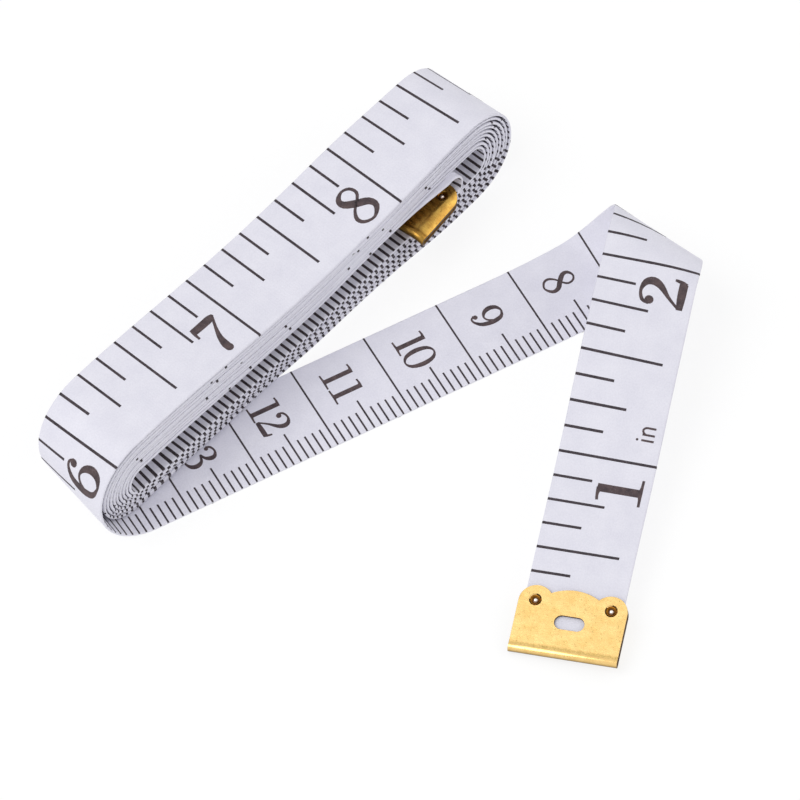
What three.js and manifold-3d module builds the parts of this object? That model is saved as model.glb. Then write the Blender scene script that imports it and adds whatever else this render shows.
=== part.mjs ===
// A cloth tape measure put down as a flattened roll. The roll's outer turn runs out under its left end,
// lies flat, turns over in an open fold and comes back down to the brass clip at the zero end.
// The tape is one strip that never stretches: every point of it is given by its length s from the
// zero end, its place w across from the inch edge, and its height h over the middle of its thickness.
// Millimetres and radians, +Z up, resting on z = 0. The origin is the middle of the flat run's underside.
import * as THREE from 'three';
import { mergeVertices } from 'three/addons/utils/BufferGeometryUtils.js';
import Module from 'manifold-3d';

const wasm = await Module();
wasm.setup();

const degree = Math.PI / 180;

// The tape
const tapeLength = 1500;
const tapeWidth = 12;
const tapeThickness = 0.2;

// The roll: wide passes between two rows of bends, wound from the outside in
const innerTurns = 9;
const turnGap = 0.43;
const passLength = 58.5;
const waistShare = 0.7;
const layerStepShare = 0.45;
const innerReach = 12.8;
const innerBendBack = 3.2;
const creepAside = 2.3;
const creepRun = 52;

// The skewed wrap by which the outer turn comes out from under the roll
const wrapStart = 157.1;
const wrapSkew = -9.8 * degree;
const wrapLead = 0.15;

// The fold that lays the zero end back over the flat run, parted by a hair at its crown
const foldStart = 70.5;
const foldSkew = -24 * degree;
const foldRadius = 5.45;
const hingeGap = 0.3;

// The brass clip on each end of the tape: a sheet folded round the end, with a rolled bead at the fold
// and a wavy free edge of two lobes and a crown
const clipSheet = 0.3;
const clipSlack = 0.15;
const clipOverhang = 0.6;
const clipDepth = 8.6;
const beadRadius = 0.62;
const lobeRadius = 2.1;
const valleyDepth = 0.75;
const slotLength = 3.65;
const slotWidth = 1.75;
const slotFromEdge = 4.2;
const endClearance = 0.65;

// The two rivets of each clip, sunk in pits on both faces
const rivetInset = 2;
const rivetFromEdge = 1.85;
const rivetShank = 0.34;
const rivetHead = 0.62;
const rivetSink = 0.05;
const rivetClearance = 0.12;
const headClearance = 0.16;

// Clearances and fineness
const seatGap = 0.3;
const waistSlack = 0.25;
const cutOverrun = 1;
const bendSteps = 8;
const passSteps = 4;
const measureSteps = 48;
const halvings = 50;
const roundSides = 12;
const arcSides = 8;

// Sizes that follow
const halfTape = tapeThickness / 2;
const halfWidth = tapeWidth / 2;
const pitch = tapeThickness + turnGap;
const leafInside = halfTape + clipSlack;
const leafOutside = leafInside + clipSheet;
const clipWidth = tapeWidth + 2 * clipOverhang;
const tapeInClip = clipSheet + endClearance;
const slotPlace = clipDepth - slotFromEdge;
const rivetPlace = clipDepth - rivetFromEdge;
const opening = 2 * beadRadius + tapeThickness + 2 * seatGap + waistSlack;
const wrapRadius = (2 * innerTurns * pitch + opening) / 2;
const topHeight = halfTape + 2 * wrapRadius;
const leftEnd = -passLength / 2;
const rightEnd = passLength / 2;

// The straight roll begins where the skewed wrap has ended on both edges of the tape
const rollStart = wrapStart + halfWidth * Math.tan(Math.abs(wrapSkew)) + wrapLead;

const along = (x) => (x - leftEnd) / passLength;
const smooth = (share) => share * share * (3 - 2 * share);

// Heights of the turns, counted from the outside: the passes over the opening sag at the waist, and
// those under it lie on the flat run at their left end and come down to the floor beside it
function topPass(turn, x) {
  const sag = waistShare * opening * Math.sin(Math.PI * along(x)) ** 2;
  return topHeight - (turn - 1) * pitch - sag;
}

function bottomPass(turn, x) {
  const stepped = (along(x) - layerStepShare) / (1 - layerStepShare);
  return halfTape + turn * pitch - pitch * smooth(Math.min(Math.max(stepped, 0), 1));
}

function passPoints(height, from, to, steps) {
  const points = [];
  for (let i = 1; i <= steps; i += 1) {
    const x = from + ((to - from) * i) / steps;
    points.push(new THREE.Vector2(x, height(x)));
  }
  return points;
}

// Half a turn at x between two heights, bulging to the right (side 1) or to the left (side -1)
function bendPoints(x, from, to, side, steps) {
  const radius = (from - to) / 2;
  const middle = (from + to) / 2;
  const points = [];
  for (let i = 1; i <= steps; i += 1) {
    const angle = (Math.PI * i) / steps;
    const reach = side * Math.abs(radius) * Math.sin(angle);
    points.push(new THREE.Vector2(x + reach, middle + radius * Math.cos(angle)));
  }
  return points;
}

// The middle line of the whole roll in its own plane. Each left bend lies further in than the one
// round it by leftShift. The last bend stands back from the others, and drops the inner end to where its
// clip lies on the turn below.
function rollLine(leftShift, passes, bends) {
  const points = [new THREE.Vector2(leftEnd, topHeight)];
  const endX = rightEnd - innerReach;
  const endHeight = bottomPass(innerTurns, endX) + halfTape + seatGap + beadRadius;
  for (let turn = 1; turn <= innerTurns + 1; turn += 1) {
    const from = leftEnd + (turn - 1) * leftShift;
    const to = leftEnd + turn * leftShift;
    const last = turn > innerTurns;
    const bendX = last ? rightEnd - innerBendBack : rightEnd;
    const under = last ? endHeight : bottomPass(turn, rightEnd);
    points.push(...passPoints((x) => topPass(turn, x), from, bendX, passes));
    points.push(...bendPoints(bendX, topPass(turn, bendX), under, 1, bends));
    if (last) {
      points.push(new THREE.Vector2(endX, endHeight));
    } else {
      points.push(...passPoints((x) => bottomPass(turn, x), rightEnd, to, passes));
      points.push(...bendPoints(to, bottomPass(turn, to), topPass(turn + 1, to), -1, bends));
    }
  }
  return points;
}

function reachedLengths(points) {
  const reached = [0];
  for (let i = 1; i < points.length; i += 1) {
    reached.push(reached[i - 1] + points[i].distanceTo(points[i - 1]));
  }
  return reached;
}

// The left bends move in by as much as brings the inner end to the tape's real length
function shiftForLength() {
  const fine = reachedLengths(rollLine(0, measureSteps, measureSteps));
  const spare = rollStart + fine.at(-1) - tapeLength;
  const shiftedPasses = innerTurns * (innerTurns + 1);
  return spare / shiftedPasses;
}

// A flat stretch of the strip: the place where s and w are zero, and the directions of s, w and h
function stripPoint(flat, s, w, h) {
  return flat.origin.clone()
    .addScaledVector(flat.s, s)
    .addScaledVector(flat.w, w)
    .addScaledVector(flat.h, h);
}

// A bend about a skewed line, met while going down in s, with the inch side outside
function makeBend(flat, start, skew, radius, angle) {
  const cos = Math.cos(skew);
  const sin = Math.sin(skew);
  const out = flat.s.clone().multiplyScalar(-cos).addScaledVector(flat.w, sin);
  const axis = flat.s.clone().multiplyScalar(sin).addScaledVector(flat.w, cos);
  const foot = stripPoint(flat, start, halfWidth, 0);
  const turned = (a) => ({
    place: foot.clone()
      .addScaledVector(out, radius * Math.sin(a))
      .addScaledVector(flat.h, -radius * (1 - Math.cos(a))),
    out: out.clone().multiplyScalar(Math.cos(a)).addScaledVector(flat.h, -Math.sin(a)),
    h: flat.h.clone().multiplyScalar(Math.cos(a)).addScaledVector(out, Math.sin(a)),
  });
  const end = turned(angle);
  const s = end.out.clone().multiplyScalar(-cos).addScaledVector(axis, sin);
  const w = end.out.clone().multiplyScalar(sin).addScaledVector(axis, cos);
  const origin = end.place.clone()
    .addScaledVector(end.out, -radius * angle)
    .addScaledVector(s, -start)
    .addScaledVector(w, -halfWidth);
  return { skew, radius, angle, axis, turned, after: { origin, s, w, h: end.h } };
}

// A cut across the strip: its two edges on the inch side, then back along the other side
function crossCut(edgeA, edgeB, h) {
  const outward = h.clone().multiplyScalar(halfTape);
  return [
    edgeA.clone().add(outward),
    edgeB.clone().add(outward),
    edgeB.clone().sub(outward),
    edgeA.clone().sub(outward),
  ];
}

// The cut at an angle into a bend runs along the bend's own line, so it is longer than the width
function bendCut(bend, angle) {
  const { place, h } = bend.turned(angle);
  const middle = -bend.radius * angle * Math.tan(bend.skew);
  const reach = halfWidth / Math.cos(bend.skew);
  const edgeA = place.clone().addScaledVector(bend.axis, middle - reach);
  const edgeB = place.clone().addScaledVector(bend.axis, middle + reach);
  return crossCut(edgeA, edgeB, h);
}

function bendCuts(bend, from, to, steps) {
  const cuts = [];
  for (let i = 0; i <= steps; i += 1) {
    cuts.push(bendCut(bend, from + ((to - from) * i) / steps));
  }
  return cuts;
}

function flatCut(flat, s) {
  return crossCut(stripPoint(flat, s, 0, 0), stripPoint(flat, s, tapeWidth, 0), flat.h);
}

// The fold turns past level, until the corner of the zero clip's bead comes down to the floor
function foldAngle() {
  const cornerS = beadRadius - tapeInClip;
  const beyond = (foldStart - cornerS) * Math.cos(foldSkew)
    - (halfWidth + clipOverhang) * Math.sin(foldSkew);
  const cornerHeight = (angle) => {
    const tilt = Math.sin(foldSkew) * Math.sin(angle);
    return halfTape + foldRadius * (1 - Math.cos(angle)) + (beyond - foldRadius * angle) * Math.sin(angle)
      - beadRadius * Math.sqrt(1 - tilt * tilt);
  };
  let low = Math.PI;
  let high = Math.PI * 1.5;
  for (let i = 0; i < halvings; i += 1) {
    const middle = (low + high) / 2;
    if (cornerHeight(middle) > 0) low = middle;
    else high = middle;
  }
  return low;
}

// The flat stretches and bends of the strip, from the top of the roll down to the zero end
const rollTop = {
  origin: new THREE.Vector3(leftEnd - rollStart, halfWidth, topHeight),
  s: new THREE.Vector3(1, 0, 0),
  w: new THREE.Vector3(0, -1, 0),
  h: new THREE.Vector3(0, 0, 1),
};
const wrap = makeBend(rollTop, wrapStart, wrapSkew, wrapRadius, Math.PI);
const flatRun = wrap.after;
const fold = makeBend(flatRun, foldStart, foldSkew, foldRadius, foldAngle());
const tail = fold.after;
const flatEnd = wrapStart - Math.PI * wrapRadius;

// The inner end drifts sideways as it goes in, so its clip stands out a little at the near side
const line = rollLine(shiftForLength(), passSteps, bendSteps);
const lineLengths = reachedLengths(line);

function rollPlace(index) {
  const first = Math.max(index - 1, 0);
  const last = Math.min(index, line.length - 2);
  const arriving = line[first + 1].clone().sub(line[first]).normalize();
  const leaving = line[last + 1].clone().sub(line[last]).normalize();
  const heading = arriving.clone().add(leaving).normalize();
  const mitre = 1 / arriving.dot(heading);
  const creepShare = Math.max(lineLengths[index] - lineLengths.at(-1) + creepRun, 0) / creepRun;
  const turn = Math.atan((2 * creepAside * creepShare) / creepRun);
  const forward = new THREE.Vector3(heading.x, 0, heading.y);
  const aside = new THREE.Vector3(0, -1, 0);
  return {
    centre: new THREE.Vector3(line[index].x, -creepAside * creepShare ** 2, line[index].y),
    s: forward.clone().multiplyScalar(Math.cos(turn)).addScaledVector(aside, Math.sin(turn)),
    w: aside.clone().multiplyScalar(Math.cos(turn)).addScaledVector(forward, -Math.sin(turn)),
    h: new THREE.Vector3(-heading.y, 0, heading.x),
    mitre,
  };
}

function rollCut(index) {
  const place = rollPlace(index);
  const edgeA = place.centre.clone().addScaledVector(place.w, -halfWidth);
  const edgeB = place.centre.clone().addScaledVector(place.w, halfWidth);
  return crossCut(edgeA, edgeB, place.h.clone().multiplyScalar(place.mitre));
}

const innerPlace = rollPlace(line.length - 1);
const innerEnd = {
  origin: innerPlace.centre.clone().addScaledVector(innerPlace.w, -halfWidth),
  s: innerPlace.s,
  w: innerPlace.w,
  h: innerPlace.h,
};

// A closed skin over a row of cuts
function skin(cuts) {
  const corners = cuts[0].length;
  const positions = cuts.flat().flatMap((point) => point.toArray());
  const faces = [];
  for (let i = 0; i + 1 < cuts.length; i += 1) {
    for (let j = 0; j < corners; j += 1) {
      const here = i * corners + j;
      const beside = i * corners + ((j + 1) % corners);
      faces.push(here, beside, here + corners);
      faces.push(beside, beside + corners, here + corners);
    }
  }
  const far = (cuts.length - 1) * corners;
  for (let j = 1; j + 1 < corners; j += 1) {
    faces.push(0, j + 1, j);
    faces.push(far, far + j, far + j + 1);
  }
  const geometry = new THREE.BufferGeometry();
  geometry.setAttribute('position', new THREE.Float32BufferAttribute(positions, 3));
  geometry.setIndex(faces);
  return geometry;
}

function solidOf(geometry) {
  geometry.deleteAttribute('normal');
  geometry.deleteAttribute('uv');
  const merged = mergeVertices(geometry);
  const mesh = new wasm.Mesh({
    numProp: 3,
    vertProperties: new Float32Array(merged.attributes.position.array),
    triVerts: new Uint32Array(merged.index.array),
  });
  return new wasm.Manifold(mesh);
}

function geometryOf(solid) {
  const mesh = solid.getMesh();
  const geometry = new THREE.BufferGeometry();
  geometry.setAttribute('position', new THREE.BufferAttribute(mesh.vertProperties, 3));
  geometry.setIndex(new THREE.BufferAttribute(mesh.triVerts, 1));
  geometry.computeVertexNormals();
  return geometry;
}

// A clip is built along, up and across from the outer corner of its bead. On the inner end of the
// tape it lies the other way round, so both directions along and up turn over.
function clipPlacement(end, inward) {
  const forward = end.s.clone().multiplyScalar(inward);
  const up = end.h.clone().multiplyScalar(inward);
  const corner = end.origin.clone()
    .addScaledVector(end.w, -clipOverhang)
    .addScaledVector(forward, -tapeInClip);
  return new THREE.Matrix4().makeBasis(forward, up, end.w).setPosition(corner);
}

// The folded sheet in section: two leaves, joined round a hollow bead
function clipSection() {
  const inner = beadRadius - clipSheet;
  const outerTurn = Math.asin(leafOutside / beadRadius);
  const innerTurn = Math.asin(leafInside / inner);
  const section = new THREE.Shape();
  section.absarc(beadRadius, 0, beadRadius, outerTurn, 2 * Math.PI - outerTurn, false);
  section.lineTo(clipDepth, -leafOutside);
  section.lineTo(clipDepth, -leafInside);
  section.absarc(beadRadius, 0, inner, 2 * Math.PI - innerTurn, innerTurn, true);
  section.lineTo(clipDepth, leafInside);
  section.lineTo(clipDepth, leafOutside);
  return section;
}

// The clip's outline from above: square at the bead, two lobes at the corners and a low crown between
function clipOutline() {
  const lobeMiddle = clipDepth - lobeRadius;
  const valleyReach = Math.sqrt(lobeRadius ** 2 - (lobeRadius - valleyDepth) ** 2);
  const valley = Math.atan2(lobeRadius - valleyDepth, valleyReach);
  const halfCrown = clipWidth / 2 - lobeRadius - valleyReach;
  const crownRadius = (halfCrown ** 2 + valleyDepth ** 2) / (2 * valleyDepth);
  const crownTurn = Math.asin(halfCrown / crownRadius);
  const quarter = Math.PI / 2;
  const outline = new THREE.Shape();
  outline.moveTo(0, -cutOverrun);
  outline.lineTo(clipWidth, -cutOverrun);
  outline.absarc(clipWidth - lobeRadius, lobeMiddle, lobeRadius, 0, Math.PI - valley, false);
  const crownHeight = clipDepth - crownRadius;
  outline.absarc(clipWidth / 2, crownHeight, crownRadius, quarter - crownTurn, quarter + crownTurn, false);
  outline.absarc(lobeRadius, lobeMiddle, lobeRadius, valley, Math.PI, false);
  return outline;
}

function slotOutline() {
  const half = slotWidth / 2;
  const reach = slotLength / 2 - half;
  const quarter = Math.PI / 2;
  const slot = new THREE.Shape();
  slot.absarc(clipWidth / 2 + reach, slotPlace, half, -quarter, quarter, false);
  slot.absarc(clipWidth / 2 - reach, slotPlace, half, quarter, -quarter, false);
  return slot;
}

// An outline drawn across and along, made solid through both leaves
function throughLeaves(outline) {
  const height = 2 * (beadRadius + cutOverrun);
  const geometry = new THREE.ExtrudeGeometry(outline, {
    depth: height, bevelEnabled: false, curveSegments: arcSides,
  });
  geometry.translate(0, 0, -height / 2);
  const across = new THREE.Vector3(0, 0, 1);
  const forward = new THREE.Vector3(1, 0, 0);
  const up = new THREE.Vector3(0, 1, 0);
  geometry.applyMatrix4(new THREE.Matrix4().makeBasis(across, forward, up));
  return solidOf(geometry);
}

function turnedSolid(profile) {
  return new THREE.LatheGeometry(profile.map(([r, y]) => new THREE.Vector2(r, y)), roundSides);
}

// The pits and the hole between them, which keep a clearance round the rivet
function pitCutter() {
  const cut = leafOutside + cutOverrun;
  const wide = rivetHead + headClearance;
  const narrow = rivetShank + rivetClearance;
  return turnedSolid([
    [0, -cut], [wide, -cut], [wide, -leafOutside], [narrow, -leafInside],
    [narrow, leafInside], [wide, leafOutside], [wide, cut], [0, cut],
  ]);
}

function rivetGeometry() {
  const face = leafOutside - rivetSink;
  return turnedSolid([
    [0, -face], [rivetHead, -face], [rivetShank, -leafInside],
    [rivetShank, leafInside], [rivetHead, face], [0, face],
  ]);
}

const rivetSides = { a: rivetInset, b: clipWidth - rivetInset };

function clipGeometry() {
  const sheet = new THREE.ExtrudeGeometry(clipSection(), {
    depth: clipWidth, bevelEnabled: false, curveSegments: arcSides,
  });
  let solid = solidOf(sheet).intersect(throughLeaves(clipOutline())).subtract(throughLeaves(slotOutline()));
  for (const side of Object.values(rivetSides)) {
    solid = solid.subtract(solidOf(pitCutter().translate(rivetPlace, 0, side)));
  }
  return geometryOf(solid);
}

// The holes that the rivets take in the tape
function pierced(cuts, end, inward) {
  const height = 2 * leafOutside;
  const radius = rivetShank + rivetClearance;
  let solid = solidOf(skin(cuts));
  for (const side of Object.values(rivetSides)) {
    const hole = new THREE.CylinderGeometry(radius, radius, height, roundSides);
    hole.translate(rivetPlace, 0, side).applyMatrix4(clipPlacement(end, inward));
    solid = solid.subtract(solidOf(hole));
  }
  return geometryOf(solid);
}

const brass = new THREE.MeshStandardMaterial({ color: 0xd9b04a, metalness: 1, roughness: 0.3 });
const steel = new THREE.MeshStandardMaterial({ color: 0x9a938c, metalness: 1, roughness: 0.4 });
const coatedCloth = new THREE.MeshStandardMaterial({ color: 0xe4e3ee, metalness: 0, roughness: 0.55 });

function addPiece(group, name, geometry, material) {
  const mesh = new THREE.Mesh(geometry, material);
  mesh.name = name;
  group.add(mesh);
}

function addClip(group, name, end, inward) {
  const placement = clipPlacement(end, inward);
  addPiece(group, name, clipGeometry().applyMatrix4(placement), brass);
  for (const [letter, side] of Object.entries(rivetSides)) {
    const rivet = rivetGeometry().translate(rivetPlace, 0, side).applyMatrix4(placement);
    addPiece(group, `${name}_rivet_${letter}`, rivet, steel);
  }
}

// The tape is parted on the fold's crown line, where the free end swings
function addTape(group) {
  const crown = Math.PI / 2;
  const parting = hingeGap / 2 / foldRadius;
  const woundCuts = bendCuts(fold, crown - parting, 0, bendSteps / 2);
  woundCuts.push(...bendCuts(wrap, wrap.angle, 0, bendSteps));
  for (let i = 0; i < line.length; i += 1) woundCuts.push(rollCut(i));
  const tailCuts = [flatCut(tail, 0), ...bendCuts(fold, fold.angle, crown + parting, bendSteps / 2)];
  addPiece(group, 'tape_wound_run', pierced(woundCuts, innerEnd, -1), coatedCloth);
  addPiece(group, 'tape_tail', pierced(tailCuts, tail, 1), coatedCloth);
}

function distanceToSegment(point, from, to) {
  const run = to.clone().sub(from);
  const share = Math.min(Math.max(point.clone().sub(from).dot(run) / run.lengthSq(), 0), 1);
  return point.distanceTo(from.clone().addScaledVector(run, share));
}

// The least gap of the tape to itself: the middle line of the roll, and the faces of the wrap and of
// the flat run under the roll, each against the roll's middle line
function leastGap() {
  const nearby = 2 * opening;
  let least = Infinity;
  const measure = (point, reached, depth) => {
    for (let j = 0; j + 1 < line.length; j += 1) {
      const apart = Math.min(Math.abs(reached - lineLengths[j]), Math.abs(reached - lineLengths[j + 1]));
      if (apart > nearby) {
        least = Math.min(least, distanceToSegment(point, line[j], line[j + 1]) - halfTape - depth);
      }
    }
  };
  line.forEach((point, index) => measure(point, lineLengths[index], halfTape));
  for (let i = 0; i <= bendSteps; i += 1) {
    const angle = (wrap.angle * i) / bendSteps;
    for (const corner of bendCut(wrap, angle)) {
      measure(new THREE.Vector2(corner.x, corner.z), -wrapRadius * angle, 0);
    }
  }
  for (let i = 0; i <= measureSteps; i += 1) {
    const s = foldStart + ((flatEnd - foldStart) * i) / measureSteps;
    for (const corner of flatCut(flatRun, s)) {
      if (Math.abs(corner.y) <= halfWidth) measure(new THREE.Vector2(corner.x, corner.z), s - rollStart, 0);
    }
  }
  return least;
}

const tapeMeasure = new THREE.Group();
addTape(tapeMeasure);
addClip(tapeMeasure, 'zero_clip', tail, 1);
addClip(tapeMeasure, 'inner_clip', innerEnd, -1);

const flatMiddle = (foldStart + flatEnd) / 2;
const restPoint = stripPoint(flatRun, flatMiddle, halfWidth, halfTape);
tapeMeasure.position.copy(restPoint).negate();

const crownPlace = fold.turned(Math.PI / 2);
const hingePoint = crownPlace.place.clone()
  .addScaledVector(fold.axis, -fold.radius * (Math.PI / 2) * Math.tan(fold.skew))
  .addScaledVector(crownPlace.h, halfTape)
  .sub(restPoint);
console.log('least gap of the tape to itself, mm:', leastGap().toFixed(3));
console.log('length laid, mm:', (rollStart + lineLengths.at(-1)).toFixed(2));
console.log('hinge point, mm:', hingePoint.toArray().map((value) => value.toFixed(4)).join(' '));
console.log('hinge axis:', fold.axis.clone().negate().toArray().map((value) => value.toFixed(6)).join(' '));

export default tapeMeasure;
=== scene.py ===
import math

import bmesh
import bpy
import numpy as np
from mathutils import Matrix, Vector


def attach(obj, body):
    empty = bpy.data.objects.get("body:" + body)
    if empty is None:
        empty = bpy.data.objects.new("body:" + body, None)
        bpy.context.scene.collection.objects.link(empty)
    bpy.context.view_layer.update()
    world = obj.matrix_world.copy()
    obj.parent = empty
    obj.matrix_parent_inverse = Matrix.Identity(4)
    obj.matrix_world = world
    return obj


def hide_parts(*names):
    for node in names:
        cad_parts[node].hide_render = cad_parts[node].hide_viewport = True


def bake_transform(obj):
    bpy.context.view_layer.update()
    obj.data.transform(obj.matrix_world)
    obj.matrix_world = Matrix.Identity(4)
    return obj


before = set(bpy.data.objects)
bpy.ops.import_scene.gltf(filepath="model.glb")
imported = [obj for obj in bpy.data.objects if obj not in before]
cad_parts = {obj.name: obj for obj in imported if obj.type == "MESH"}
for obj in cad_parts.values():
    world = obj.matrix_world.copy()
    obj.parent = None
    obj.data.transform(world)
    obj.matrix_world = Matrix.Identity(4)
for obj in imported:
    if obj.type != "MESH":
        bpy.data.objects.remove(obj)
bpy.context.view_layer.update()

# ---------------------------------------------------------------- the strip, in millimetres, as in the CAD source
MM = 0.001
# 60 inches, 24 mm more than the CAD strip, because the turns nest closer here
LENGTH = 1524.0
WIDTH, CAD_THICK = 12.0, 0.2
TURNS, TURN_GAP, SPAN = 9, 0.43, 58.5
# The upper runs sink by this share of the opening, and the lower ones step down a layer from this share of the span on
WAIST, LAYER_STEP = 0.7, 0.45
# From the roll's right end to the strip's inner end, to its last bend, and to the bends of the other turns
INNER_REACH, INNER_BEND_BACK, PULLED_IN = 12.8, 5.2, 0.7
# The inner end creeps out sideways: how far, over what length in the CAD form, and over what length here
CREEP, CREEP_RUN, CREEP_LENGTH = 2.3, 52.0, 24.0
# The two bends of the free strip
WRAP_S, WRAP_SKEW, WRAP_LEAD = 157.1, math.radians(-9.8), 0.15
FOLD_S, FOLD_SKEW, FOLD_RADIUS = 70.5, math.radians(-24.0), 5.45
CLIP_SHEET, CLIP_OVER, CLIP_SLACK, BEAD, CLEARANCE = 0.3, 0.6, 0.15, 0.62, 0.65
SEAT_GAP, WAIST_SLACK = 0.3, 0.25
HINGE = np.array([36.5324, -14.3086, 5.55])

PITCH = CAD_THICK + TURN_GAP
OPENING = 2 * BEAD + CAD_THICK + 2 * SEAT_GAP + WAIST_SLACK
WRAP_RADIUS = (2 * TURNS * PITCH + OPENING) / 2
TOP = CAD_THICK / 2 + 2 * WRAP_RADIUS
LEFT, RIGHT = -SPAN / 2, SPAN / 2
ROLL_START = WRAP_S + WIDTH / 2 * math.tan(abs(WRAP_SKEW)) + WRAP_LEAD

# ---------------------------------------------------------------- what the cloth does beyond the CAD form
# The tape's thickness in the open, in the roll's upper and lower runs, and at its right end
THICK, UPPER_THICK, LOWER_THICK, RIGHT_THICK = 0.32, 0.5, 0.37, 0.34
# Where these pass into each other, mostly as (from, over): by height, along the roll, at its start, before its end
THICKER_UP, THINNER_RIGHT, THICKER_IN, THINNER_OUT = (4.0, 5.0), (8.0, 18.0), 25.0, (9.0, 5.0)
# How far the lower runs stand out to the near side along the roll: (x, outermost run, innermost run)
STAND_OUT = np.array([(-29.0, 0.0, 0.3), (-24.0, 0.0, 0.55), (-16.0, 0.05, 0.35), (-8.0, -0.1, 0.35), (0.0, 0.3, 0.4),
                      (8.0, 0.4, 0.2), (16.0, 0.5, 0.4), (22.0, 0.65, 0.6), (29.0, 0.5, 0.4)])
# No turn lies quite on the next: how far lower and upper runs wander, and the waves of it, each as
# (share, turn from run to run, turn per mm along the roll, start)
UNEVEN_LOW, UNEVEN_HIGH = 0.16, 0.09
WAVES = [(0.6, 2.4, 0.21, 0.0), (0.4, 5.1, -0.13, 1.0)]
# How much closer the runs lie than in the CAD form: (x, upper runs, lower runs)
PRESSED = np.array([(-29.0, 0.0, 0.3), (-22.0, 0.0, 0.3), (-12.0, 0.0, 0.3), (0.0, 0.08, 0.3), (8.0, 0.2, 0.26),
                    (16.0, 0.2, 0.12), (20.0, 0.2, 0.08), (29.0, 0.1, 0.08)])
# These tables are read at so many places along the roll, and blurred over so many to each side
TABLE_STEPS, TABLE_BLUR = 118, 6
# The left ends of the inner turns nest in the wrap, whose bend is skewed over this reach and height
NEST, NEST_CLOSER = 0.8, 0.12
NEST_SKEW, NEST_REACH, NEST_BELOW, NEST_OVER = 0.95, 5.0, 0.2, 1.5
# The right end twists: from this place on, by this rise of the near edge, above this height; its bends lean a little
TWIST_START, TWIST_RISE, TWIST_ABOVE = 13.0, 0.85, 4.5
TWIST_LEAN, TWIST_LEAN_OVER = 0.05, 4.0
# The inner clip's arch: its height and reach from the near edge, the cuts that shape it, and where the tape takes it up
CROWN, CROWN_REACH, CROWN_CUTS = 0.4, 1.55, 7
CROWN_FROM_END, CROWN_OVER = 13.5, 5.0
# The tail and the fold lift on their inch side: (middle s, spread, rise at the inch edge, rise at the centimetre edge)
LIFTS = [(25.0, 9.0, -0.5, -0.9), (42.0, 11.0, 1.2, -0.4), (68.0, 7.0, 1.1, 0.2)]
# Steps along each run, round each bend and along the inner end; finer ones to measure the roll; halvings for the fold
RUN_CELLS, BEND_CELLS, END_CELLS, MEASURE_CELLS, HALVINGS = 30, 36, 8, 48, 60


def smooth(x):
    """From 0 to 1 without a corner, as x goes from 0 to 1."""
    x = np.clip(x, 0.0, 1.0)
    return x * x * (3 - 2 * x)


def along_roll(table, column, x):
    """A smooth value between a table's places along the roll."""
    at = np.linspace(LEFT, RIGHT, TABLE_STEPS)
    rough = np.interp(at, table[:, 0], table[:, column])
    padded = np.concatenate([np.full(TABLE_BLUR, rough[0]), rough, np.full(TABLE_BLUR, rough[-1])])
    blur = np.hanning(2 * TABLE_BLUR + 3)
    return np.interp(x, at, np.convolve(padded, blur[1:-1] / blur.sum(), "valid"))


def top_run(k, x):
    """Height of the upper run of turn k, counted inwards from 1."""
    closer = 1 - along_roll(PRESSED, 1, x)
    return TOP - (k - 1) * PITCH * closer - WAIST * OPENING * np.sin(np.pi * (x - LEFT) / SPAN) ** 2


def cad_bottom_run(k, x):
    """Height of the lower run of turn k as the CAD source has it."""
    return CAD_THICK / 2 + k * PITCH - PITCH * smooth(((x - LEFT) / SPAN - LAYER_STEP) / (1 - LAYER_STEP))


def bottom_run(k, x):
    """The same height with the runs pressed together."""
    closer = 1 - along_roll(PRESSED, 2, x)
    return CAD_THICK / 2 + (cad_bottom_run(k, x) - CAD_THICK / 2) * closer


def unevenness(k, x):
    """A wandering between -1 and 1."""
    return sum(share * np.sin(by_run * k + by_mm * x + start) for share, by_run, by_mm, start in WAVES)


def stand_out(k, x):
    """How far a lower run's place is moved towards the near side."""
    share = (k - 1) / (TURNS - 1)
    even = (1 - share) * along_roll(STAND_OUT, 1, x) + share * along_roll(STAND_OUT, 2, x)
    return even + UNEVEN_LOW * unevenness(k, x)


def upper_out(k, x):
    """The same for an upper run, of which the outermost stays where the CAD form has it."""
    return UNEVEN_HIGH * unevenness(k + 0.5, x) * min(k - 1, 1)


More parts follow.
